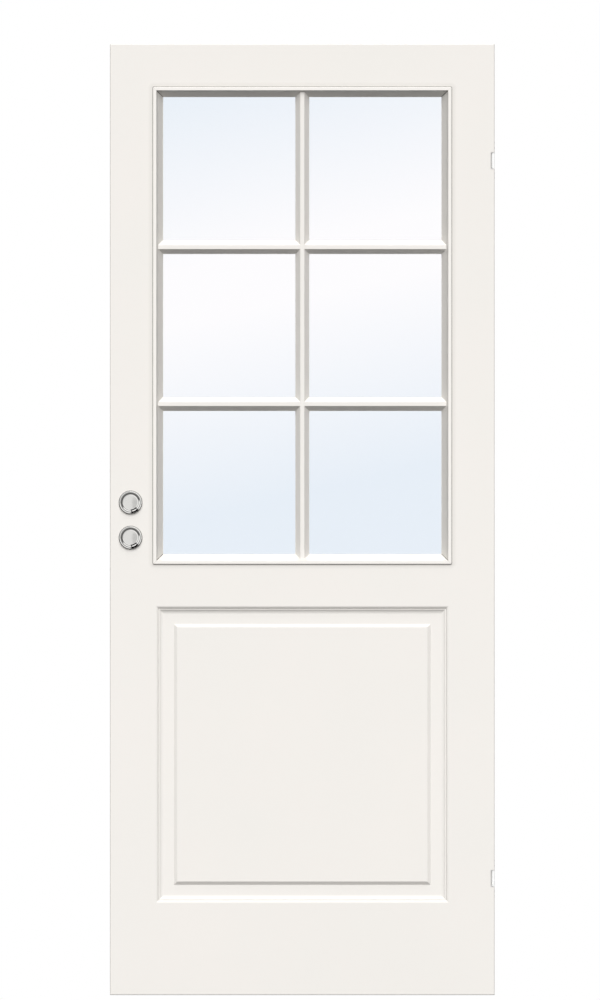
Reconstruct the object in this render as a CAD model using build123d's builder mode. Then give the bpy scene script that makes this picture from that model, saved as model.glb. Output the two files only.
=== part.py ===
from build123d import *
import os

# Interior door leaf, hung on its right edge: six small panes over one raised panel.
# Millimetres. The origin is on the hinge edge, at the foot of the leaf and at mid thickness.
# The leaf runs towards -X, its front face looks along -Y and +Z is up.

# The leaf
leaf_width = 825.0
leaf_height = 2040.0
leaf_thickness = 40.0
face_board = 9.0
edge_round = 1.6

# The glazed light, measured to the outside of its moulding
light_side_margin = 92.0
light_top_margin = 91.7
light_bottom_margin = 89.8

# Glazing bead section, from its outer edge inwards
bead_proud = 3.0
bead_land = 7.2
bead_step = 4.1
bead_slope = 10.2
bead_lap = 5.5
bead_fit = 0.5
bead_outer_round = 1.4
bead_corner_round = 3.0
bead_round = 1.0

# Glazing bars and glass
bar_face = 8.6
bar_depth = 14.9
bar_round = 0.8
bar_web = 6.0
glass_thickness = 4.0
glass_edge_gap = 3.0
glass_web_gap = 2.0

# The raised panel, worked into each face board
panel_side_margin = 98.5
panel_bottom_margin = 198.0
panel_height = 636.5
ovolo_run = 5.6
ovolo_depth = 3.4
ovolo_dip = 0.15
quirk = 2.0
cove_run = 9.5
recess_depth = 6.8
panel_margin = 38.5
field_bevel = 7.0
field_depth = 2.6

# Handle roses, lock and bolts
lock_backset = 44.0
handle_height = 1057.0
key_spacing = 75.5
rose_radius = 25.75
rose_height = 5.2
rose_wall_lean = 1.6
rose_bevel = 1.0
rose_rim_radius = 20.9
rose_dish_radius = 17.4
rose_dish_height = 2.4
faceplate_thickness = 3.0
faceplate_width = 20.0
faceplate_height = 235.0
faceplate_round = 4.0
case_thickness = 15.0
case_depth = 70.0
case_height = 165.0
bolt_thickness = 11.0
bolt_length = 22.0
bolt_fit = 0.4
latch_height = 16.0
dead_bolt_height = 28.0

# Hinges
hinge_inset = 250.0
hinge_plate_thickness = 2.5
hinge_plate_height = 90.0
hinge_plate_back = 8.5
hinge_plate_round = 3.0
socket_width = 8.2
socket_height = 36.0
socket_depth = 14.0
socket_wall = 1.0
hinge_fit = 0.3
hinge_pin_radius = 1.5
hinge_barrel_radius = 3.1
hinge_barrel_gap = 0.8
hinge_pin_inset = 3.3

# What follows from those sizes
leaf_centre = -leaf_width / 2
half_leaf = leaf_thickness / 2
half_core = half_leaf - face_board
half_glass = glass_thickness / 2
panel_width = leaf_width - 2 * panel_side_margin
panel_middle = panel_bottom_margin + panel_height / 2
panel_top = panel_bottom_margin + panel_height
light_width = leaf_width - 2 * light_side_margin
light_top = leaf_height - light_top_margin
light_bottom = panel_top + light_bottom_margin
light_height = light_top - light_bottom
light_middle = (light_top + light_bottom) / 2
opening_width = light_width - 2 * bead_lap
opening_height = light_height - 2 * bead_lap
bead_width = bead_land + bead_step + bead_slope
bar_base = bar_face + 2 * bead_slope
sight_width = light_width - 2 * bead_width
sight_height = light_height - 2 * bead_width
pane_width = (sight_width - bar_base) / 2
pane_height = (sight_height - 2 * bar_base) / 3
column_pitch = pane_width + bar_base
row_pitch = pane_height + bar_base
stile_width = light_side_margin + bead_lap
rail_length = leaf_width - 2 * stile_width
opening_top = light_middle + opening_height / 2
opening_bottom = light_middle - opening_height / 2
rose_centre = -leaf_width + lock_backset
key_height = handle_height - key_spacing
lock_centre = (handle_height + key_height) / 2
sides = (("front", -1), ("back", 1))
hinges = (("upper", leaf_height - hinge_inset), ("lower", hinge_inset))
columns = (("lock_side", -1), ("hinge_side", 1))
rows = (("top", 1), ("middle", 0), ("bottom", -1))


def face_plane(outward, distance):
    """Plane parallel to a face of the leaf and looking out of it, with its y upwards."""
    return Plane(
        origin=(leaf_centre, outward * distance, 0),
        x_dir=(-outward, 0, 0),
        z_dir=(0, outward, 0),
    )


def save(piece, name):
    """Label a finished piece and write it to a file of its own."""
    piece.part.label = name
    export_step(piece.part, f"parts/{name}.step")


os.makedirs("parts", exist_ok=True)

# Face boards: one sheet for each face, with the light cut through it and the panel moulding
# run into it by a cutter that goes round a rectangle, so that its corners are mitred. The
# front one is notched at the hinge edge for the hinge sockets.
for side, outward in sides:
    skin = face_plane(outward, half_leaf)
    with BuildPart() as board:
        with BuildSketch(face_plane(outward, half_core)):
            with Locations((0, leaf_height / 2)):
                Rectangle(leaf_width, leaf_height)
        extrude(amount=face_board)
        outer_face = board.faces().sort_by(Axis.Y)[-1 if outward > 0 else 0]
        fillet(outer_face.edges(), edge_round)

        with BuildSketch(skin):
            with Locations((0, light_middle)):
                Rectangle(opening_width, opening_height)
        extrude(amount=-face_board, mode=Mode.SUBTRACT)

        with BuildLine(skin):
            cutter_path = Polyline(
                (0, panel_bottom_margin),
                (panel_width / 2, panel_bottom_margin),
                (panel_width / 2, panel_top),
                (-panel_width / 2, panel_top),
                (-panel_width / 2, panel_bottom_margin),
                (0, panel_bottom_margin),
            )
        cutter_plane = Plane(
            origin=cutter_path @ 0,
            x_dir=(0, 0, 1),
            z_dir=skin.x_dir,
        )
        cove_start = ovolo_run + quirk
        cove_end = cove_start + cove_run
        field_edge = panel_margin + field_bevel
        with BuildSketch(cutter_plane):
            with BuildLine():
                Line((cove_start, -ovolo_depth), (ovolo_run, -ovolo_depth))
                TangentArc(
                    (0, 0),
                    (ovolo_run, -ovolo_depth),
                    tangent=(1, -ovolo_dip),
                )
                Polyline(
                    (0, 0),
                    (0, field_depth),
                    (field_edge, field_depth),
                    (field_edge, -field_depth),
                    (panel_margin, -recess_depth),
                    (cove_end, -recess_depth),
                )
                TangentArc(
                    (cove_end, -recess_depth),
                    (cove_start, -ovolo_depth),
                    tangent=(-1, 0),
                )
            make_face()
        sweep(path=cutter_path, transition=Transition.RIGHT, mode=Mode.SUBTRACT)

        with BuildSketch(skin):
            with Locations((0, panel_middle)):
                Rectangle(panel_width - 2 * field_edge, panel_height - 2 * field_edge)
        extrude(amount=-field_depth, mode=Mode.SUBTRACT)

        if side == "front":
            for _, hinge_height in hinges:
                with BuildSketch(Plane.XY.offset(hinge_height)):
                    with Locations((0, -half_leaf)):
                        Rectangle(2 * (socket_width + hinge_fit), 2 * socket_depth)
                extrude(
                    amount=socket_height / 2 + hinge_fit,
                    both=True,
                    mode=Mode.SUBTRACT,
                )
    save(board, f"{side}_face_board")

# Stiles and rails: the sawn frame between the two face boards. The stiles run the full
# height and the rails are cut between them.
frame_plane = Plane.XZ.offset(-half_core)
with BuildPart() as hinge_stile:
    with BuildSketch(frame_plane):
        with Locations((-stile_width / 2, leaf_height / 2)):
            Rectangle(stile_width, leaf_height)
    extrude(amount=2 * half_core)
    for _, hinge_height in hinges:
        with BuildSketch(Plane.XY.offset(hinge_height)):
            with Locations((0, -half_leaf)):
                Rectangle(
                    2 * (socket_width + hinge_fit),
                    2 * (socket_depth + hinge_fit),
                )
        extrude(amount=socket_height / 2 + hinge_fit, both=True, mode=Mode.SUBTRACT)
        with BuildSketch(Plane.YZ.offset(-hinge_plate_thickness)):
            with Locations((0, hinge_height)):
                RectangleRounded(
                    2 * (hinge_plate_back + hinge_fit),
                    hinge_plate_height + 2 * hinge_fit,
                    hinge_plate_round,
                )
        extrude(amount=hinge_plate_thickness, mode=Mode.SUBTRACT)
save(hinge_stile, "hinge_stile")

with BuildPart() as lock_stile:
    with BuildSketch(frame_plane):
        with Locations((stile_width / 2 - leaf_width, leaf_height / 2)):
            Rectangle(stile_width, leaf_height)
    extrude(amount=2 * half_core)
    lock_edge = Plane.YZ.offset(-leaf_width)
    with BuildSketch(lock_edge):
        with Locations((0, lock_centre)):
            RectangleRounded(faceplate_width, faceplate_height, faceplate_round)
    extrude(amount=faceplate_thickness, mode=Mode.SUBTRACT)
    with BuildSketch(lock_edge):
        with Locations((0, lock_centre)):
            Rectangle(case_thickness, case_height)
    extrude(amount=faceplate_thickness + case_depth, mode=Mode.SUBTRACT)
save(lock_stile, "lock_stile")

for name, foot, head in (
    ("top_rail", opening_top, leaf_height),
    ("lock_rail", panel_top, opening_bottom),
    ("panel_core", panel_bottom_margin, panel_top),
    ("bottom_rail", 0, panel_bottom_margin),
):
    with BuildPart() as rail:
        with BuildSketch(frame_plane):
            with Locations((leaf_centre, (foot + head) / 2)):
                Rectangle(rail_length, head - foot)
        extrude(amount=2 * half_core)
    save(rail, name)

# Panes: six sheets of clear glass, each with room for packing between it and the wood.
for row, across_row in rows:
    for column, across_column in columns:
        wall_side = opening_width / 2 - glass_edge_gap
        web_side = bar_web / 2 + glass_web_gap
        centre_x = across_column * (wall_side + web_side) / 2
        web_top = row_pitch / 2 - web_side
        wall_top = opening_height / 2 - row_pitch - glass_edge_gap
        low = -web_top if across_row > -1 else -wall_top
        high = web_top if across_row < 1 else wall_top
        with BuildPart() as pane:
            with BuildSketch(Plane.XZ.offset(-half_glass)):
                with Locations(
                    (
                        leaf_centre + centre_x,
                        light_middle + across_row * row_pitch + (low + high) / 2,
                    )
                ):
                    Rectangle(wall_side - web_side, high - low)
            extrude(amount=glass_thickness)
        save(pane, f"pane_{row}_{column}")

# Glazing bars: the front ones carry the web that parts the panes, the back ones are loose
# and close against it. The upright runs through. Every end is scribed, undercut so that it
# sits on the slope that it runs into, of a bead or of the upright.


def glazing_bar(side, name, along, centre, clear_length, web_centre, web_length):
    """One bar, as (x, z) of its centre, with clear_length of its base in view."""
    run = Vector(along)
    out = Vector(0, dict(sides)[side], 0)
    section = Plane(
        origin=(centre[0], 0, centre[1]),
        x_dir=out.cross(run),
        z_dir=run,
    )
    with BuildPart() as bar:
        with BuildSketch(section):
            with BuildLine():
                Polyline(
                    (-bar_base / 2, half_glass),
                    (bar_base / 2, half_glass),
                    (bar_face / 2, bar_depth),
                    (-bar_face / 2, bar_depth),
                    close=True,
                )
            trapezium = make_face()
            fillet(trapezium.vertices().group_by(Axis.Y)[-1], bar_round)
        extrude(amount=clear_length / 2 + bead_slope, both=True)
        for end in (-1, 1):
            scribe = Plane(
                origin=section.origin + run * (end * clear_length / 2) + out * half_glass,
                z_dir=run * (end * (bar_depth - half_glass)) - out * bead_slope,
            )
            split(bisect_by=scribe, keep=Keep.BOTTOM)
        if side == "front":
            web_plane = Plane(
                origin=(web_centre[0], 0, web_centre[1]),
                x_dir=section.x_dir,
                z_dir=run,
            )
            with BuildSketch(web_plane):
                Rectangle(bar_web, glass_thickness)
            extrude(amount=web_length / 2, both=True)
    save(bar, f"{side}_{name}")


for side, outward in sides:
    middle = (leaf_centre, light_middle)
    web_length = opening_height - 2 * bead_fit
    glazing_bar(side, "upright_bar", (0, 0, 1), middle, sight_height, middle, web_length)
    for level, half_row in (("upper", 0.5), ("lower", -0.5)):
        for column, across in columns:
            height = light_middle + half_row * row_pitch
            web_length = (opening_width - bar_web) / 2 - bead_fit
            glazing_bar(
                side,
                f"{level}_bar_{column}",
                (1, 0, 0),
                (leaf_centre + across * column_pitch / 2, height),
                pane_width,
                (leaf_centre + across * (bar_web + web_length) / 2, height),
                web_length,
            )

# Glazing beads: four lengths of one moulding on each face, mitred at the corners, which are
# rounded off. The lip laps over the face board and the slope runs down to the glass.
bead_edges = (
    ("top", (0, 0, -1), (leaf_centre, light_top), light_width),
    ("bottom", (0, 0, 1), (leaf_centre, light_bottom), light_width),
    ("lock_side", (1, 0, 0), (leaf_centre - light_width / 2, light_middle), light_height),
    ("hinge_side", (-1, 0, 0), (leaf_centre + light_width / 2, light_middle), light_height),
)
for side, outward in sides:
    for edge, inward, (edge_x, edge_z), length in bead_edges:
        along = Vector(inward).cross(Vector(0, outward, 0))
        section = Plane(origin=(edge_x, 0, edge_z), x_dir=inward, z_dir=along)
        crest = half_leaf + bead_proud
        with BuildPart() as bead:
            with BuildSketch(section):
                with BuildLine():
                    Polyline(
                        (0, half_leaf),
                        (0, crest),
                        (bead_land, crest),
                        (bead_land + bead_step, bar_depth),
                        (bead_width, half_glass),
                        (bead_lap + bead_fit, half_glass),
                        (bead_lap + bead_fit, half_leaf),
                        close=True,
                    )
                outline = make_face()
                outer_corner, inner_corner = (
                    outline.vertices().group_by(Axis.Y)[-1].sort_by(Axis.X)
                )
                fillet(outer_corner, bead_outer_round)
                fillet(inner_corner, bead_round)
            extrude(amount=length / 2, both=True)
            for end in (-1, 1):
                mitre = Plane(
                    origin=section.origin + along * (end * length / 2),
                    z_dir=along * end + Vector(inward),
                )
                split(bisect_by=mitre, keep=Keep.BOTTOM)
            with BuildSketch(face_plane(outward, 0)):
                with Locations((0, light_middle)):
                    RectangleRounded(light_width, light_height, bead_corner_round)
            extrude(amount=crest, mode=Mode.INTERSECT)
        save(bead, f"{side}_bead_{edge}")

# Hinge plates: a folded plate let in flush with the hinge edge, with a small open socket
# that comes through to the front face. A barrel stands in each socket on its pin, just clear
# of the walls and just behind the face.
for name, hinge_height in hinges:
    with BuildPart() as hinge_plate:
        with BuildSketch(Plane.YZ.offset(-hinge_plate_thickness)):
            with Locations((0, hinge_height)):
                RectangleRounded(
                    2 * hinge_plate_back,
                    hinge_plate_height,
                    hinge_plate_round,
                )
        extrude(amount=hinge_plate_thickness)
        for wall, mode in ((0, Mode.ADD), (socket_wall, Mode.SUBTRACT)):
            with BuildSketch(Plane.XZ.offset(half_leaf)):
                with Locations((-(socket_width - wall) / 2, hinge_height)):
                    Rectangle(socket_width - wall, socket_height - 2 * wall)
            extrude(amount=-(socket_depth - wall), mode=mode)
    save(hinge_plate, f"{name}_hinge_plate")

    pin_half = socket_height / 2 - socket_wall
    pin_place = (-hinge_pin_inset, -half_leaf + hinge_pin_inset)
    with BuildPart() as hinge_pin:
        for radius, half_length in (
            (hinge_pin_radius, pin_half),
            (hinge_barrel_radius, pin_half - hinge_barrel_gap),
        ):
            with BuildSketch(Plane.XY.offset(hinge_height)):
                with Locations(pin_place):
                    Circle(radius)
            extrude(amount=half_length, both=True)
    save(hinge_pin, f"{name}_hinge_pin")

# Lock: a case in a mortise behind a faceplate with rounded corners, flush with the lock
# edge. The latch and the dead bolt slide through it and are drawn back flush.
bolts = (
    ("latch_bolt", handle_height, latch_height),
    ("dead_bolt", key_height, dead_bolt_height),
)
with BuildPart() as faceplate:
    with BuildSketch(lock_edge):
        with Locations((0, lock_centre)):
            RectangleRounded(faceplate_width, faceplate_height, faceplate_round)
        for _, bolt_level, bolt_height in bolts:
            with Locations((0, bolt_level)):
                Rectangle(
                    bolt_thickness + 2 * bolt_fit,
                    bolt_height + 2 * bolt_fit,
                    mode=Mode.SUBTRACT,
                )
    extrude(amount=faceplate_thickness)
save(faceplate, "lock_faceplate")

with BuildPart() as lock_case:
    with BuildSketch(lock_edge.offset(faceplate_thickness)):
        with Locations((0, lock_centre)):
            Rectangle(case_thickness, case_height)
    extrude(amount=case_depth)
    with BuildSketch(lock_edge):
        for _, bolt_level, bolt_height in bolts:
            with Locations((0, bolt_level)):
                Rectangle(bolt_thickness + 2 * bolt_fit, bolt_height + 2 * bolt_fit)
    extrude(amount=bolt_length, mode=Mode.SUBTRACT)
save(lock_case, "lock_case")

for name, bolt_level, bolt_height in bolts:
    with BuildPart() as bolt:
        with BuildSketch(lock_edge):
            with Locations((0, bolt_level)):
                Rectangle(bolt_thickness, bolt_height)
        extrude(amount=bolt_length)
    save(bolt, name)

# Roses: spun discs with a leaning wall, a raised rim and a shallow dish, two on each face.
for side, outward in sides:
    for name, height in (("handle_rose", handle_height), ("key_rose", key_height)):
        centre = (rose_centre, outward * half_leaf, height)
        with BuildPart() as rose:
            with BuildSketch(Plane(origin=centre, x_dir=(1, 0, 0), z_dir=(0, 0, outward))):
                with BuildLine():
                    Polyline(
                        (0, 0),
                        (rose_radius, 0),
                        (rose_radius - rose_wall_lean, rose_height),
                        (rose_rim_radius, rose_height),
                        (rose_dish_radius, rose_dish_height),
                        (0, rose_dish_height),
                        close=True,
                    )
                half_section = make_face()
                shoulder = half_section.vertices().group_by(Axis.Y)[-1].sort_by(Axis.X)[-1]
                chamfer(shoulder, rose_bevel)
            revolve(axis=Axis(centre, (0, outward, 0)))
        save(rose, f"{side}_{name}")
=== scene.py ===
import math

import bpy
import numpy as np
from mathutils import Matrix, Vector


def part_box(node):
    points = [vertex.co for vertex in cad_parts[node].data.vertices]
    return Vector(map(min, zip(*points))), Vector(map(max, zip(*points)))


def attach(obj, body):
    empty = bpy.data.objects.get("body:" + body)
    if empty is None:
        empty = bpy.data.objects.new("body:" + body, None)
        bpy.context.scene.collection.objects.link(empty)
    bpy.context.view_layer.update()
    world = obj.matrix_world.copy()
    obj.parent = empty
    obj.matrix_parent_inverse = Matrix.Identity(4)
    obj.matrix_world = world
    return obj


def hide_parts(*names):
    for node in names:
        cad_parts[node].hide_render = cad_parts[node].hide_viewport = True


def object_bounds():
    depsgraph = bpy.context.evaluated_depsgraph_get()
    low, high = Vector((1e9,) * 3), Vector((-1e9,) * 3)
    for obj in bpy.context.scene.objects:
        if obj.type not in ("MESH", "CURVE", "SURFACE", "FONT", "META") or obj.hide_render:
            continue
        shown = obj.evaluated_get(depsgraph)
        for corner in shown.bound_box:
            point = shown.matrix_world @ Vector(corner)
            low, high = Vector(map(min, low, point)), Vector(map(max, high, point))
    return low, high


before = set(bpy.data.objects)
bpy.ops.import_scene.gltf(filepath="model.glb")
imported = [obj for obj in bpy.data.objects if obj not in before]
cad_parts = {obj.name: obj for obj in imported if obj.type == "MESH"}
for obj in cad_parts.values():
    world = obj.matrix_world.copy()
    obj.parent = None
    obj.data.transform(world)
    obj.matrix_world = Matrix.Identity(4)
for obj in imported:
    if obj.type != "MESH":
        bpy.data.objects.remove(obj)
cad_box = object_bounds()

# Face boards. Two sheets of fibreboard, one for each face, glued over the frame, with the
# panel routed into them. They are primed, sanded and sprayed with two coats of satin white.
MM = 0.001
SPRAY_PEEL = 1.6 * MM
SPRAY_DEPTH = 0.012 * MM
SPRAY_DRIFT = 240 * MM
# A grey laid over the paint as painted shade, on slants and beside the beads.
PAINTED_SHADE_GREY = "bdb9b2"
# Most of a noise lies between these two values.
NOISE_LOW, NOISE_HIGH = 0.3, 0.7
# How square to the face a slant is where its painted shade starts and where it is darkest, and how
# square an edge of the leaf may be before it counts as a slant.
SLANT_STARTS, SLANT_FULL = 0.9, 0.62
EDGE_ENDS, EDGE_PAST = 0.1, 0.3


def linear(shade):
    """Turn an sRGB hex value into linear red, green and blue, with a full alpha."""
    parts = np.array([int(shade[i:i + 2], 16) for i in (0, 2, 4)]) / 255.0
    low, high = parts / 12.92, ((parts + 0.055) / 1.055) ** 2.4
    return (*np.where(parts <= 0.04045, low, high).tolist(), 1.0)


def add(tree, kind, inputs=None, out=0, **settings):
    """Add one node with its settings. Each input is a value, or the output that feeds it.
    The output that is asked for comes back, or the node itself where it has none."""
    made = tree.nodes.new(kind)
    for key, value in settings.items():
        setattr(made, key, value)
    for key, value in (inputs or {}).items():
        if isinstance(value, bpy.types.NodeSocket):
            tree.links.new(value, made.inputs[key])
        else:
            made.inputs[key].default_value = value
    return made.outputs[out] if len(made.outputs) else made


def new_material(name):
    """Start an empty material and return it with its node tree and object coordinates."""
    material = bpy.data.materials.new(name)
    material.use_nodes = True
    tree = material.node_tree
    tree.nodes.clear()
    return material, tree, add(tree, "ShaderNodeTexCoord", out="Object")


def distance(tree, vector, axis, middle=0.0):
    """How far one component of a vector lies to either side of a middle: |part - middle|."""
    part = add(tree, "ShaderNodeSeparateXYZ", {0: vector}, axis)
    shift = add(tree, "ShaderNodeMath", {0: part, 1: middle}, operation="SUBTRACT")
    return add(tree, "ShaderNodeMath", {0: shift}, operation="ABSOLUTE")


def tint(material, factor, shade):
    """Lay a second shade over a paint's own colour, by a factor output."""
    tree = material.node_tree
    shader = next(n for n in tree.nodes if n.type == "BSDF_PRINCIPLED")
    plain = shader.inputs["Base Color"].links[0].from_socket
    colour = add(tree, "ShaderNodeMix", {"Factor": factor, "A": plain, "B": linear(shade)},
                 "Result", data_type="RGBA")
    tree.links.new(colour, shader.inputs["Base Color"])


def satin_paint(name, shade, low_shade, rough=0.38, peel=SPRAY_PEEL, depth=SPRAY_DEPTH,
                slant=0.0):
    """Sprayed satin paint: a slow drift in tone and gloss, and a very fine orange peel. Slanting
    parts get a painted shade, greyer by the share named slant, which stands in for the shade that
    falls on them."""
    material, tree, where = new_material(name)
    drift = add(tree, "ShaderNodeTexNoise",
                {"Vector": where, "Scale": 1 / SPRAY_DRIFT, "Detail": 3.0, "Roughness": 0.45})
    spread = add(tree, "ShaderNodeMapRange",
                 {"Value": drift, "From Min": NOISE_LOW, "From Max": NOISE_HIGH})
    colour = add(tree, "ShaderNodeMix",
                 {"Factor": spread, "A": linear(low_shade), "B": linear(shade)},
                 "Result", data_type="RGBA")
    gloss = add(tree, "ShaderNodeMapRange",
                {"Value": drift, "From Min": NOISE_LOW, "From Max": NOISE_HIGH,
                 "To Min": rough - 0.03, "To Max": rough + 0.04})
    grain = add(tree, "ShaderNodeTexNoise",
                {"Vector": where, "Scale": 1 / peel, "Detail": 2.0, "Roughness": 0.5})
    skin = add(tree, "ShaderNodeBump", {"Height": grain, "Strength": 1.0, "Distance": depth})
    shader = add(tree, "ShaderNodeBsdfPrincipled",
                 {"Base Color": colour, "Roughness": gloss, "Normal": skin, "IOR": 1.47})
    add(tree, "ShaderNodeOutputMaterial", {"Surface": shader})
    if slant:
        # Painted shade: parts that slant away from the face are laid over with grey.
        square = distance(tree, add(tree, "ShaderNodeNewGeometry", out="Normal"), "Y")
        slant_shade_amount = add(tree, "ShaderNodeMapRange", {"Value": square, "From Min": SLANT_STARTS,
                                                   "From Max": SLANT_FULL, "To Max": slant})
        off_edge = add(tree, "ShaderNodeMapRange",
                       {"Value": square, "From Min": EDGE_ENDS, "From Max": EDGE_PAST})
        share = add(tree, "ShaderNodeMath", {0: slant_shade_amount, 1: off_edge}, operation="MULTIPLY")
        tint(material, share, PAINTED_SHADE_GREY)
    return material


def dress(names, material):
    """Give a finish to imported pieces, whose shapes stay as they are."""
    for name in names:
        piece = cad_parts[name]
        piece.data.materials.clear()
        piece.data.materials.append(material)


def rectangle_gaps(tree, where, centre, half):
    """How far a point lies outside a rectangle in the face plane, sideways and upwards:
    |x - cx| - half width and |z - cz| - half height."""
    return [add(tree, "ShaderNodeMath", {0: distance(tree, where, axis, middle), 1: reach},
                operation="SUBTRACT")
            for axis, middle, reach in zip("XZ", centre, half)]


# The beads stand on the face with a hairline joint all round, where the paint has sunk. Close to
# them the face is given a painted shade, darkest at the bead, which stands in for the shade that
# the beads throw.
BEAD_CORNER = 3.0 * MM
BEAD_SHADE_REACH, BEAD_SHADE_SHARE = 11.0 * MM, 0.32
JOINT_FULL, JOINT_CLEAR = 0.64 * MM, 1.04 * MM
light_low = np.array((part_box("front_bead_lock_side")[0].x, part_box("front_bead_bottom")[0].z))
light_high = np.array((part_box("front_bead_hinge_side")[1].x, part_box("front_bead_top")[1].z))
light_centre = ((light_low + light_high) / 2).tolist()
light_half = ((light_high - light_low) / 2).tolist()
# The face's slants, such as the panel's mouldings, get the painted shade by the share slant.
face_paint = satin_paint("satin_white_sprayed_on_fibreboard", "f3efea", "f1eee9", slant=0.58)
tree = face_paint.node_tree
where = add(tree, "ShaderNodeTexCoord", out="Object")
across, up = rectangle_gaps(tree, where, light_centre, [h - BEAD_CORNER for h in light_half])
past = add(tree, "ShaderNodeCombineXYZ", {"X": across, "Y": up})
past = add(tree, "ShaderNodeVectorMath", {0: past, 1: (0.0, 0.0, 0.0)}, "Vector",
           operation="MAXIMUM")
past = add(tree, "ShaderNodeVectorMath", {0: past}, "Value", operation="LENGTH")
outside = add(tree, "ShaderNodeMath", {0: past, 1: BEAD_CORNER}, operation="SUBTRACT")
# Painted shade on the face beside the beads, fading out away from them.
near = add(tree, "ShaderNodeMapRange", {"Value": outside, "From Min": BEAD_SHADE_REACH,
                                        "From Max": 0.0, "To Max": BEAD_SHADE_SHARE})
tint(face_paint, near, PAINTED_SHADE_GREY)
line = add(tree, "ShaderNodeMapRange",
           {"Value": outside, "From Min": JOINT_CLEAR, "From Max": JOINT_FULL})
tint(face_paint, line, "4a4743")

# The long arrises are eased with fine paper. Along them the face is given a painted shade, which
# stands in for the shade on their rounding.
ARRIS_FULL, ARRIS_CLEAR, ARRIS_SHADE_SHARE = 1.28 * MM, 1.92 * MM, 0.3
leaf_low, leaf_high = cad_box
leaf_middle = (leaf_low.x + leaf_high.x) / 2
leaf_half = (leaf_high.x - leaf_low.x) / 2
arris_shade = add(tree, "ShaderNodeMapRange",
            {"Value": distance(tree, where, "X", leaf_middle), "From Min": leaf_half - ARRIS_CLEAR,
             "From Max": leaf_half - ARRIS_FULL, "To Max": ARRIS_SHADE_SHARE})
tint(face_paint, arris_shade, "8f8b84")
dress(["front_face_board", "back_face_board"], face_paint)

# Stiles and rails. Planed pine, glued between the face boards and sprayed with them, so that
# only their edges show. The paint is thinner there and the glue lines read as faint grooves.
GLUE_GROOVE = 0.25 * MM
glue_line = abs(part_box("hinge_stile")[0].y)
edge_paint = satin_paint("satin_white_sprayed_on_pine_edge", "f1ede7", "edeae4", rough=0.42)
tree = edge_paint.node_tree
depth = distance(tree, add(tree, "ShaderNodeTexCoord", out="Object"), "Y")
away = add(tree, "ShaderNodeMath", {0: depth, 1: glue_line}, operation="SUBTRACT")
away = add(tree, "ShaderNodeMath", {0: away}, operation="ABSOLUTE")
groove = add(tree, "ShaderNodeMapRange",
             {"Value": away, "From Min": GLUE_GROOVE, "From Max": 0.0})
tint(edge_paint, groove, "c9c5be")
dress(["hinge_stile", "lock_stile", "top_rail", "lock_rail", "bottom_rail", "panel_core"],
      edge_paint)

# Glazing beads and bars. Moulded lengths of fibreboard, mitred and scribed, and sprayed before
# they are pinned in, so their edges are crisp. The beads are given a shade lighter than the face,
# a painted highlight, and the slants of both a painted shade.
bead_paint = satin_paint("satin_white_sprayed_on_bead", "f7f3ee", "f5f2ed", rough=0.34,
                         slant=0.4)
bar_paint = satin_paint("satin_white_sprayed_on_bar", "f2eee9", "f0ede8", rough=0.34,
                        slant=0.15)

# The mitres show as hairlines on the crest of the bead. On its slopes, where two slopes meet in an
# inside corner, a wider, dark seam is the joint together with painted shade in that crease. Each
# line fades out between two shares of its width.
MITRE_HAIRLINE, MITRE_SEAM_AND_SHADE = 0.35 * MM, 0.9 * MM
LINE_FULL, LINE_CLEAR = 0.7, 1.3
CREST_ENDS, SLOPE_STARTS = 2.0 * MM, 2.5 * MM
crest = abs(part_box("front_bead_top")[0].y)
tree = bead_paint.node_tree
where = add(tree, "ShaderNodeTexCoord", out="Object")
across, up = rectangle_gaps(tree, where, light_centre, light_half)
lag = add(tree, "ShaderNodeMath", {0: across, 1: up}, operation="SUBTRACT")
lag = add(tree, "ShaderNodeMath", {0: lag}, operation="ABSOLUTE")
depth = distance(tree, where, "Y")
for width, none, full, shade in ((MITRE_HAIRLINE, SLOPE_STARTS, CREST_ENDS, "d6d2cc"),
                                 (MITRE_SEAM_AND_SHADE, CREST_ENDS, SLOPE_STARTS, "77746e")):
    line = add(tree, "ShaderNodeMapRange", {"Value": lag, "From Min": LINE_CLEAR * width,
                                            "From Max": LINE_FULL * width})
    place = add(tree, "ShaderNodeMapRange",
                {"Value": depth, "From Min": crest - none, "From Max": crest - full})
    mitre_line_and_shade = add(tree, "ShaderNodeMath", {0: line, 1: place}, operation="MULTIPLY")
    tint(bead_paint, mitre_line_and_shade, shade)
dress([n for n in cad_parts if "_bead_" in n], bead_paint)
dress([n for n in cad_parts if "_bar" in n], bar_paint)

# Panes. Clear 4 mm float glass, cut to size and bedded between the beads. It is as smooth as the
# melt that it floated on left it, so it is all but colourless. Its colour carries a painted
# reflection of the surroundings: a cool tint that gathers away from a clear diagonal band.
REFLECTION_BAND_HEIGHT = 1555 * MM
REFLECTION_BAND_SLANT = 0.226
REFLECTION_BAND_HALF = 60 * MM
REFLECTED_COOL_REACH = 480 * MM
float_glass, tree, where = new_material("clear_float_glass")
placed = add(tree, "ShaderNodeVectorMath",
             {0: where, 1: (-leaf_middle, 0.0, -REFLECTION_BAND_HEIGHT)}, "Vector", operation="ADD")
slanted = add(tree, "ShaderNodeVectorMath", {0: placed, 1: (REFLECTION_BAND_SLANT, 0.0, -1.0)},
              "Value", operation="DOT_PRODUCT")
from_reflection_band = add(tree, "ShaderNodeMath", {0: slanted}, operation="ABSOLUTE")
reflection_tint = add(tree, "ShaderNodeMapRange",
           {"Value": from_reflection_band, "From Min": REFLECTION_BAND_HALF, "From Max": REFLECTED_COOL_REACH})
reflection_tint = add(tree, "ShaderNodeMix", {"Factor": reflection_tint, "A": linear("fefdff"), "B": linear("e7eff8")},
           "Result", data_type="RGBA")
shader = add(tree, "ShaderNodeBsdfPrincipled", {"Base Color": reflection_tint, "Roughness": 0.0,
                                                "IOR": 1.5, "Transmission Weight": 1.0})
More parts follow.
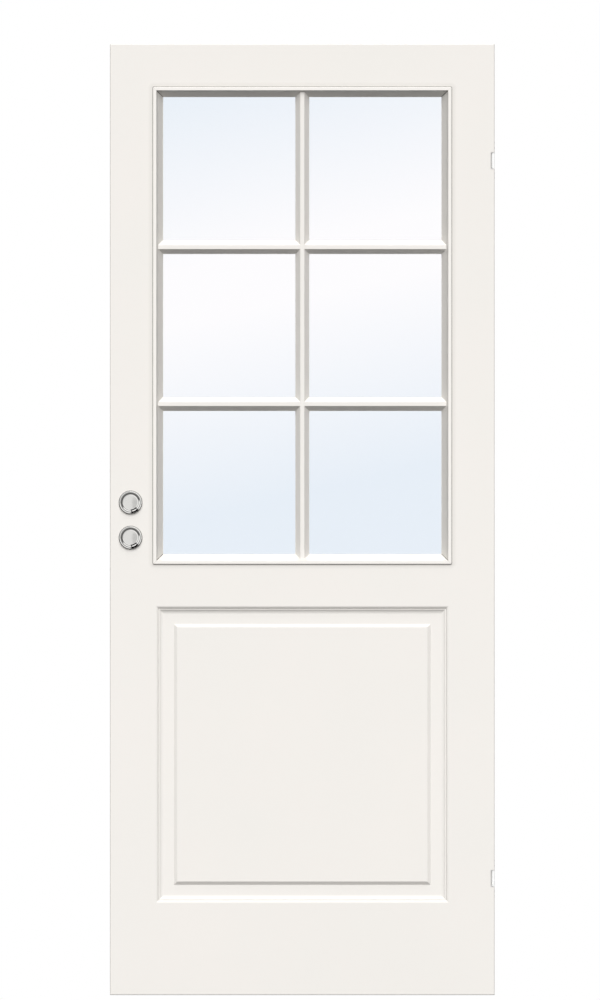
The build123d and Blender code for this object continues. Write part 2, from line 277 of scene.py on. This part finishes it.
add(tree, "ShaderNodeOutputMaterial", {"Surface": shader})
panes = sorted(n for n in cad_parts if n.startswith("pane_"))
dress(panes, float_glass)
# Clear glass hardly shows in shadows and in bounced light, so it is left out of both.
for name in panes:
    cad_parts[name].visible_shadow = False
    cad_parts[name].visible_diffuse = False

# Glazing seal. A thin fillet of pale silicone round every pane on both faces, run in with a
# gun and wiped with a finger, so that it is a hollow quarter round against bead and glass.
SEAL_REACH = 0.6 * MM
SEAL_INTO_BEAD, SEAL_INTO_GLASS = 0.2 * MM, 0.1 * MM
SEAL_STEPS = 6
FINGER_WAVE, WAVE_DEPTH = 8.33 * MM, 0.1 * MM
pane_left = (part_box("front_bead_lock_side")[1].x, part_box("front_upright_bar")[1].x)
pane_right = (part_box("front_upright_bar")[0].x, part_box("front_bead_hinge_side")[0].x)
pane_foot = tuple(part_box(n)[1].z for n in
                  ("front_bead_bottom", "front_lower_bar_lock_side", "front_upper_bar_lock_side"))
pane_head = tuple(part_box(n)[0].z for n in
                  ("front_lower_bar_lock_side", "front_upper_bar_lock_side", "front_bead_top"))
glass_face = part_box("pane_top_lock_side")[1].y


def seal_loops(outward):
    """One hollow quarter round carried along each pane's rectangle: the point at angle t is
    reach times (1 - sin t) inwards from the edge and reach times (1 - cos t) off the glass.
    One more point, inside bead and glass, closes the section."""
    t = np.linspace(0, np.pi / 2, SEAL_STEPS)
    inward = np.append(SEAL_REACH * (1 - np.sin(t)), -SEAL_INTO_BEAD)
    proud = np.append(SEAL_REACH * (1 - np.cos(t)), -SEAL_INTO_GLASS)
    left, foot = (g.ravel()[:, None] for g in np.meshgrid(pane_left, pane_foot))
    right, head = (g.ravel()[:, None] for g in np.meshgrid(pane_right, pane_head))
    x = np.stack([left + inward, right - inward, right - inward, left + inward], 1)
    z = np.stack([foot + inward, foot + inward, head - inward, head - inward], 1)
    y = np.broadcast_to(outward * (glass_face + proud), x.shape)
    points = np.stack([x, y, z], -1)
    loops, corners, sections = x.shape
    start = (np.arange(loops) * corners * sections)[:, None, None]
    corner, step = np.arange(corners)[None, :, None], np.arange(sections)[None, None, :]
    here = start + corner * sections + step
    along = start + (corner + 1) % corners * sections + step
    quads = np.stack([here, along, np.roll(along, -1, 2), np.roll(here, -1, 2)], -1)
    return points.reshape(-1, 3), quads.reshape(-1, 4)[:, ::outward]


# Cured silicone has a soft sheen, with shallow waves where the finger went.
silicone, tree, where = new_material("pale_silicone_wiped_smooth")
wave = add(tree, "ShaderNodeTexNoise",
           {"Vector": where, "Scale": 1 / FINGER_WAVE, "Detail": 2.0})
skin = add(tree, "ShaderNodeBump", {"Height": wave, "Strength": 0.6, "Distance": WAVE_DEPTH})
mottle = add(tree, "ShaderNodeMix",
             {"Factor": wave, "A": linear("dedddb"), "B": linear("e9e8e6")},
             "Result", data_type="RGBA")
shader = add(tree, "ShaderNodeBsdfPrincipled",
             {"Base Color": mottle, "Normal": skin, "Roughness": 0.45, "IOR": 1.41})
add(tree, "ShaderNodeOutputMaterial", {"Surface": shader})
for side, outward in (("front", -1), ("back", 1)):
    points, quads = seal_loops(outward)
    seal_mesh = bpy.data.meshes.new(f"{side}_glazing_seal")
    seal_mesh.from_pydata(points.tolist(), [], quads.tolist())
    seal_mesh.materials.append(silicone)
    seal = bpy.data.objects.new(f"{side}_glazing_seal", seal_mesh)
    bpy.context.scene.collection.objects.link(seal)
    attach(seal, "root")

# Roses. Turned brass, polished and chromium plated: a rolled rim round a shallow dish. The
# upper pair covers the handle's spindle hole and the lower pair the key's. Each is pressed
# over a ring that is screwed to the leaf, so nothing shows on its face.
ROSE_TURNS = 160
# Radius and height of each corner, from the foot over the rim to the middle of the dish, and
# how much of the run before and after each inner corner is taken by its rounding.
ROSE_CORNERS = MM * np.array([
    (24.9, 0.2), (24.9, 3.65), (23.7, 4.7), (21.5, 4.5), (16.5, 1.1), (8.6, 1.35), (0.0, 1.45)])
ROSE_CUTS = MM * np.array([(0.2, 0.2), (0.15, 0.15), (1.65, 2.5), (1.8, 1.8), (5.0, 5.0)])
WASHER_CORNERS = MM * np.array([(25.4, 0.0), (25.4, 0.5), (25.1, 0.8), (24.0, 0.8), (0.0, 0.8)])
HAZE_PATCH = 3.85 * MM
NYLON_CLOUD = 2.0 * MM
face_level = abs(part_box("front_face_board")[0].y)


def soften(corners, cuts, steps=10):
    """Replace each inner corner P of a line by the parabola (1-t)^2 A + 2t(1-t) P + t^2 B,
    where A and B lie on the two runs that meet there, its two cuts' lengths from P."""
    t = np.linspace(0, 1, steps)[:, None]
    before, at, after = corners[:-2], corners[1:-1], corners[2:]
    a = at + (before - at) * (cuts[:, 0] / np.linalg.norm(before - at, axis=1))[:, None]
    b = at + (after - at) * (cuts[:, 1] / np.linalg.norm(after - at, axis=1))[:, None]
    arcs = (1 - t) ** 2 * a[:, None] + 2 * t * (1 - t) * at[:, None] + t ** 2 * b[:, None]
    return np.vstack([corners[:1], arcs.reshape(-1, 2), corners[-1:]])


def shell(name, rings, tip, material):
    """Close a stack of rings, an array of (ring, point, xyz), into a mesh: quads from ring to
    ring, a flat cap on the first and a fan from the last to the tip."""
    count, turns = rings.shape[:2]
    points = np.vstack([rings.reshape(-1, 3), tip])
    row = np.arange(turns)
    following = np.roll(row, -1)
    start = (np.arange(count - 1) * turns)[:, None]
    quads = np.stack([start + row, start + following,
                      start + turns + following, start + turns + row], -1)
    last = (count - 1) * turns
    fan = np.stack([last + row, last + following, np.full(turns, len(points) - 1)], -1)
    mesh = bpy.data.meshes.new(name)
    mesh.from_pydata(points.tolist(), [], quads.reshape(-1, 4).tolist() + fan.tolist()
                     + [row[::-1].tolist()])
    mesh.polygons.foreach_set("use_smooth", np.ones(len(mesh.polygons), dtype=bool))
    mesh.materials.append(material)
    piece = bpy.data.objects.new(name, mesh)
    bpy.context.scene.collection.objects.link(piece)
    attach(piece, "root")
    return piece


def circle_across(axis, turns):
    """The unit circle square to an axis: the point at angle a is cos a times one direction
    across the axis plus sin a times the other. The angles come back with it."""
    across = np.array((1.0, 0, 0)) if abs(axis[0]) < 0.5 else np.array((0, 1.0, 0))
    a = np.linspace(0, 2 * np.pi, turns, endpoint=False)
    return a, np.cos(a)[:, None] * across + np.sin(a)[:, None] * np.cross(axis, across)


def turn(name, profile, centre, axis, material):
    """Turn a profile of (radius, height) about a line: the point at angle a is the centre
    plus radius times the unit circle across the line, plus height along it."""
    radius, height = profile[:-1].T[..., None, None]
    circle = circle_across(axis, ROSE_TURNS)[1]
    return shell(name, radius * circle + height * axis + centre,
                 centre + profile[-1, 1] * axis, material)


# Chromium plate is a mirror with a trace of haze, and so faint a swirl from the polishing mop
# that only its gloss changes.
chrome, tree, where = new_material("polished_chrome_on_brass")
haze = add(tree, "ShaderNodeTexNoise", {"Vector": where, "Scale": 1 / HAZE_PATCH, "Detail": 3.0})
rough = add(tree, "ShaderNodeMapRange", {"Value": haze, "From Min": NOISE_LOW,
                                         "From Max": NOISE_HIGH, "To Min": 0.05, "To Max": 0.1})
shader = add(tree, "ShaderNodeBsdfPrincipled",
             {"Base Color": linear("eeedea"), "Roughness": rough, "Metallic": 1.0})
add(tree, "ShaderNodeOutputMaterial", {"Surface": shader})

# Each rose stands on a washer of grey nylon, made dark so that its edge shows as a thin dark line
# round the foot: painted shade, which stands in for the shadow line at the rose's edge.
shade_line_nylon, tree, where = new_material("dark_nylon_drawing_shade_line")
cloud = add(tree, "ShaderNodeTexNoise", {"Vector": where, "Scale": 1 / NYLON_CLOUD})
mottle = add(tree, "ShaderNodeMix",
             {"Factor": cloud, "A": linear("6a6967"), "B": linear("7c7b78")},
             "Result", data_type="RGBA")
shader = add(tree, "ShaderNodeBsdfPrincipled", {"Base Color": mottle, "Roughness": 0.5})
add(tree, "ShaderNodeOutputMaterial", {"Surface": shader})
rose_line = soften(ROSE_CORNERS, ROSE_CUTS)
for node in sorted(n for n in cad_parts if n.endswith("_rose")):
    low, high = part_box(node)
    axis = np.array((0.0, math.copysign(1.0, high.y), 0.0))
    centre = np.array(((low.x + high.x) / 2, axis[1] * face_level, (low.z + high.z) / 2))
    rose = turn(f"{node}_turned", rose_line, centre, axis, chrome)
    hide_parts(node)
    turn(f"{node}_washer", WASHER_CORNERS, centre, axis, shade_line_nylon)

# Hinges. A folded steel plate in white stove enamel is let in flush with the edge and held by
# four screws. A white nylon sleeve turns on the pin in its socket, just behind the face.
# Enamel flows out smoother than paint, and turned nylon is finer still but more matt.
stove_enamel = satin_paint("white_stove_enamel_on_steel", "ecebe8", "e6e5e2", rough=0.3,
                           depth=0.006 * MM)
sleeve_nylon = satin_paint("white_nylon_turned", "fdfdfc", "fafaf8", rough=0.42, peel=0.8 * MM,
                           depth=0.004 * MM)
dress(["upper_hinge_plate", "lower_hinge_plate"], stove_enamel)
dress(["upper_hinge_pin", "lower_hinge_pin"], sleeve_nylon)

# Each place is measured from the plate's middle, across it and up. A screw stops where it
# bites, so its cross is turned from the first one's by a step, in radians.
HINGE_SCREWS = MM * np.array([(-3.5, 38), (3.5, 27), (3.5, -27), (-3.5, -38)])
HINGE_SCREW_RADIUS = 3.4 * MM
HINGE_TWIST, HINGE_TWIST_STEP = 0.3, 0.9
SCREW_TURNS, SCREW_RINGS = 96, 26
HEAD_RISE, HEAD_SKIRT = 0.35 * MM, 0.5 * MM
ARM_HALF_WIDTH, ARM_LENGTH = 0.5 * MM, 1.9 * MM
ARM_EDGE, ARM_RUN_OUT = 0.18 * MM, 0.54 * MM
RECESS_DEPTH = 1.1 * MM
STREAK_WIDTH, STREAK_DEPTH = 0.4 * MM, 0.02 * MM
STREAK_LOW, STREAK_HIGH = 0.35, 0.65


def worked_steel(name, shade, low_shade, stretch, rough):
    """Brushed or ground steel: thin streaks in tone and gloss, long along the axis whose
    stretch is small. The real ones are 0.05 mm apart, and are drawn 0.4 mm apart so that they
    show."""
    material, tree, where = new_material(name)
    squeezed = add(tree, "ShaderNodeMapping", {"Vector": where, "Scale": stretch})
    streak = add(tree, "ShaderNodeTexNoise", {"Vector": squeezed, "Scale": 1 / STREAK_WIDTH,
                                              "Detail": 4.0, "Roughness": 0.6})
    tone = add(tree, "ShaderNodeMapRange",
               {"Value": streak, "From Min": STREAK_LOW, "From Max": STREAK_HIGH})
    colour = add(tree, "ShaderNodeMix",
                 {"Factor": tone, "A": linear(low_shade), "B": linear(shade)},
                 "Result", data_type="RGBA")
    gloss = add(tree, "ShaderNodeMapRange",
                {"Value": streak, "From Min": STREAK_LOW, "From Max": STREAK_HIGH,
                 "To Min": rough - 0.05, "To Max": rough + 0.06})
    skin = add(tree, "ShaderNodeBump",
               {"Height": streak, "Strength": 0.5, "Distance": STREAK_DEPTH})
    shader = add(tree, "ShaderNodeBsdfPrincipled",
                 {"Base Color": colour, "Roughness": gloss, "Normal": skin, "Metallic": 1.0})
    add(tree, "ShaderNodeOutputMaterial", {"Surface": shader})
    return material


def ease(t):
    """A smooth step: 3t^2 - 2t^3 with t held between 0 and 1."""
    t = np.clip(t, 0, 1)
    return t * t * (3 - 2 * t)


def screw(name, centre, axis, radius, twist):
    """A raised countersunk head with a cross recess, over a polar grid: at (r, a) its height
    is rise (1 - (r/R)^2) less the recess, where two arms cross at the given twist."""
    a, circle = circle_across(axis, SCREW_TURNS)
    r = radius * np.linspace(1, 0, SCREW_RINGS, endpoint=False)[:, None]
    u, v = np.abs(r * np.cos(a + twist)), np.abs(r * np.sin(a + twist))
    arms = np.maximum(*(ease((ARM_HALF_WIDTH - near) / ARM_EDGE + 0.5)
                        * ease((ARM_LENGTH - far) / ARM_RUN_OUT)
                        for near, far in ((u, v), (v, u))))
    height = HEAD_RISE * (1 - (r / radius) ** 2) - RECESS_DEPTH * arms
    rings = r[..., None] * circle + height[..., None] * axis
    rings = np.concatenate([rings[:1] - HEAD_SKIRT * axis, rings]) + centre
    head = shell(name, rings, centre + (HEAD_RISE - RECESS_DEPTH) * axis, screw_steel)


# Zinc plate on a rolled screw is bright, with a fine mottle that runs no way in particular.
screw_steel = worked_steel("zinc_plated_screw", "d8d8d6", "c2c2c0", (1.0, 1.0, 1.0), 0.24)
for hinge in ("upper", "lower"):
    low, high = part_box(f"{hinge}_hinge_plate")
    plate_middle = np.array((high.x, 0.0, (low.z + high.z) / 2))
    for number, (y, z) in enumerate(HINGE_SCREWS):
        screw(f"{hinge}_hinge_screw_{number + 1}", plate_middle + (0.0, y, z),
              np.array((1.0, 0.0, 0.0)), HINGE_SCREW_RADIUS,
              HINGE_TWIST + HINGE_TWIST_STEP * number)

# Lock. A brushed stainless faceplate, rounded at its ends, is let into the edge over the lock
# case and held by two screws. The latch and the dead bolt are cast, ground and drawn back
# flush. The faceplate's streaks run up it, and those of the bolts run across the edge.
BRUSHED_UP, GROUND_ACROSS = (1.0, 1.0, 0.02), (1.0, 0.05, 1.0)
FACEPLATE_SCREW_INSET = 12 * MM
FACEPLATE_SCREW_RADIUS = 3.9 * MM
FACEPLATE_TWIST, FACEPLATE_TWIST_STEP = 0.5, 0.7
faceplate_steel = worked_steel("stainless_steel_brushed", "d5d4d1", "bdbcb9", BRUSHED_UP,
                               0.32)
bolt_steel = worked_steel("ground_steel", "cbcac8", "b3b2b0", GROUND_ACROSS, 0.26)
dress(["lock_faceplate"], faceplate_steel)
dress(["latch_bolt", "dead_bolt", "lock_case"], bolt_steel)
low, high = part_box("lock_faceplate")
for number, z in enumerate((low.z + FACEPLATE_SCREW_INSET, high.z - FACEPLATE_SCREW_INSET)):
    screw(f"faceplate_screw_{number + 1}", np.array((low.x, 0.0, z)),
          np.array((-1.0, 0.0, 0.0)), FACEPLATE_SCREW_RADIUS,
          FACEPLATE_TWIST + FACEPLATE_TWIST_STEP * number)

# Studio. A plain pale floor, a white surround, and two large soft keys, one for each face. The
# floor is dull to light that has bounced, so that it sends no glow up the door.
FLOOR_REACH = 12.0
FLOOR_DULL = 0.07
floor_mesh = bpy.data.meshes.new("floor")
floor_mesh.from_pydata([(x * FLOOR_REACH, y * FLOOR_REACH, 0)
                        for x, y in ((-1, -1), (1, -1), (1, 1), (-1, 1))], [], [(0, 1, 2, 3)])
floor = bpy.data.objects.new("floor", floor_mesh)
bpy.context.scene.collection.objects.link(floor)
floor_paint, tree, _ = new_material("pale_floor")
seen = add(tree, "ShaderNodeBsdfDiffuse", {"Color": linear("cfcfcd")})
dull = add(tree, "ShaderNodeBsdfDiffuse", {"Color": (FLOOR_DULL, FLOOR_DULL, FLOOR_DULL, 1.0)})
bounced = add(tree, "ShaderNodeLightPath", out="Diffuse Depth")
bounced = add(tree, "ShaderNodeMath", {0: bounced, 1: 0.5}, operation="GREATER_THAN")
floor_look = add(tree, "ShaderNodeMixShader", {0: bounced, 1: seen, 2: dull})
add(tree, "ShaderNodeOutputMaterial", {"Surface": floor_look})
floor_mesh.materials.append(floor_paint)
floor.visible_glossy = False

world = bpy.data.worlds.new("studio")
bpy.context.scene.world = world
world.use_nodes = True
tree = world.node_tree
tree.nodes.clear()

# What mirror-like metal alone sees is a pattern of light and dark, as from white sheets and
# black flags set round a lens. Each mask below grows from none to full between two limits,
# and facing is how squarely a direction leaves the front or the back of the leaf.
# - ahead: a white sheet before each face, a little greyer in its middle and at a low corner
# - above: light high up on the lock side, between two limits of facing, turned and raised
# - edgeways and oblique: grey wings, without which slanting views show black metal
# - gap: a wedge without light, across the upper light, that draws two black glints in a dish
UPPER_LIGHT = (-0.4, 0.0, 0.917)
GAP_LINE, GAP_SIDE = (-0.42, 0.0, 0.906), (0.906, 0.0, 0.42)
GAP_SPREAD = 0.37
WING_LIGHT, OBLIQUE_LIGHT, LEAST_LIGHT = 0.55, 0.28, 0.06
MIDDLE_LOSS, CORNER_LOSS = 0.16, 0.22
direction = add(tree, "ShaderNodeTexCoord", out="Generated")
aside, rise = (add(tree, "ShaderNodeSeparateXYZ", {0: direction}, axis) for axis in "XZ")
facing = distance(tree, direction, "Y")
upper, along_gap, off_gap = (
    add(tree, "ShaderNodeVectorMath", {0: direction, 1: toward}, "Value",
        operation="DOT_PRODUCT")
    for toward in (UPPER_LIGHT, GAP_LINE, GAP_SIDE))
off_gap, spread = (add(tree, "ShaderNodeMath", {0: part}, operation="ABSOLUTE")
                   for part in (off_gap, along_gap))
spread = add(tree, "ShaderNodeMath", {0: spread, 1: GAP_SPREAD}, operation="MULTIPLY")
off_gap = add(tree, "ShaderNodeMath", {0: off_gap, 1: spread}, operation="SUBTRACT")
mask = {
    name: add(tree, "ShaderNodeMapRange", {"Value": value, "From Min": none, "From Max": full},
              interpolation_type="SMOOTHSTEP")
    for name, value, none, full in (
        ("ahead", facing, 0.7, 0.84), ("middle", facing, 0.99, 0.996),
        ("aside", aside, 0.015, 0.03), ("low", rise, 0.06, 0.03),
        ("above", upper, 0.0, 0.35), ("turned", facing, 0.54, 0.46),
        ("raised", facing, 0.2, 0.3), ("oblique", facing, 0.36, 0.46),
        ("edgeways", facing, 0.24, 0.14), ("level", rise, -0.2, 0.9),
        ("wedge", off_gap, 0.04, 0.0), ("gap_near", along_gap, 0.11, 0.15),
        ("gap_far", along_gap, 0.9, 0.86))}
mirror = add(tree, "ShaderNodeMath", {0: mask["ahead"], 1: LEAST_LIGHT}, operation="MAXIMUM")
for first, second, third in ((mask["above"], mask["turned"], mask["raised"]),
                             (mask["edgeways"], mask["level"], WING_LIGHT),
                             (mask["oblique"], OBLIQUE_LIGHT, 1.0)):
    light = add(tree, "ShaderNodeMath", {0: first, 1: second}, operation="MULTIPLY")
    light = add(tree, "ShaderNodeMath", {0: light, 1: third}, operation="MULTIPLY")
    mirror = add(tree, "ShaderNodeMath", {0: mirror, 1: light}, operation="MAXIMUM")
corner = add(tree, "ShaderNodeMath", {0: mask["aside"], 1: mask["low"]}, operation="MULTIPLY")
for first, second, third in ((mask["gap_near"], mask["gap_far"], mask["wedge"]),
                             (mask["middle"], MIDDLE_LOSS, 1.0),
                             (corner, mask["ahead"], CORNER_LOSS)):
    loss = add(tree, "ShaderNodeMath", {0: first, 1: second}, operation="MULTIPLY")
    loss = add(tree, "ShaderNodeMath", {0: loss, 1: third}, operation="MULTIPLY")
    mirror = add(tree, "ShaderNodeMath", {0: mirror, 1: loss}, operation="SUBTRACT",
                 use_clamp=True)

# What the camera sees past the object or through the glass is white, and so is what shiny
# surfaces see, but for that pattern. What falls on matt surfaces is the dim surround.
SURROUND = 0.025
ray = {kind: add(tree, "ShaderNodeLightPath", out=kind) for kind in
       ("Is Camera Ray", "Is Transmission Ray", "Is Glossy Ray", "Diffuse Depth")}
direct = add(tree, "ShaderNodeMath", {0: ray["Diffuse Depth"], 1: 0.5}, operation="LESS_THAN")
plain = add(tree, "ShaderNodeMath", {0: ray["Is Camera Ray"], 1: ray["Is Transmission Ray"]},
            operation="MAXIMUM")
plain = add(tree, "ShaderNodeMath", {0: plain, 1: direct}, operation="MULTIPLY")
shiny = add(tree, "ShaderNodeMath", {0: ray["Is Glossy Ray"], 1: direct}, operation="MULTIPLY")
level = add(tree, "ShaderNodeMix", {"Factor": shiny, "A": SURROUND, "B": mirror}, "Result")
level = add(tree, "ShaderNodeMath", {0: level, 1: plain}, operation="MAXIMUM")
sky = add(tree, "ShaderNodeBackground", {"Color": (1.0, 1.0, 1.0, 1.0), "Strength": level})
add(tree, "ShaderNodeOutputWorld", {"Surface": sky})

# The lamps shine from infinity. Azimuth 0 is the front and 90 the hinge side, in degrees, and
# each has its elevation, its share of the key's strength and its softness.
KEY = 3.1
for name, azimuth, elevation, share, softness in (
        ("key", 0, 35, 1.0, 56), ("top_light", 0, 66, 0.34, 36),
        ("back_key", 180, 35, 0.94, 56), ("back_top_light", 180, 66, 0.3, 36),
        ("hinge_side_fill", 93, 12, 0.3, 1), ("lock_side_fill", -93, 12, 0.3, 1)):
    lamp = bpy.data.lights.new(name, "SUN")
    lamp.energy = KEY * share
    lamp.angle = math.radians(softness)
    holder = bpy.data.objects.new(name, lamp)
    holder.rotation_euler = (math.radians(90 - elevation), 0, math.radians(azimuth))
    holder.visible_glossy = False
    bpy.context.scene.collection.objects.link(holder)

# Camera. Square to the front face and far off, as the photograph was taken.
PIXELS_WIDE, PIXELS_HIGH = 600, 1000
LEAF_TOP_PIXEL, LEAF_FOOT_PIXEL = 44.1, 995.0
LEAF_MIDDLE_PIXEL = 302.3
CAMERA_DISTANCE = 6.0
per_pixel = (leaf_high.z - leaf_low.z) / (LEAF_FOOT_PIXEL - LEAF_TOP_PIXEL)
lens = bpy.data.cameras.new("camera")
lens.type = "ORTHO"
lens.ortho_scale = per_pixel * PIXELS_HIGH
camera = bpy.data.objects.new("camera", lens)
camera.location = (
    leaf_middle - (LEAF_MIDDLE_PIXEL - PIXELS_WIDE / 2) * per_pixel,
    -CAMERA_DISTANCE,
    leaf_low.z + (LEAF_FOOT_PIXEL - PIXELS_HIGH / 2) * per_pixel,
)
camera.rotation_euler = (math.radians(90), 0, 0)
bpy.context.scene.collection.objects.link(camera)
bpy.context.scene.camera = camera
bpy.context.scene.view_settings.view_transform = "Standard"
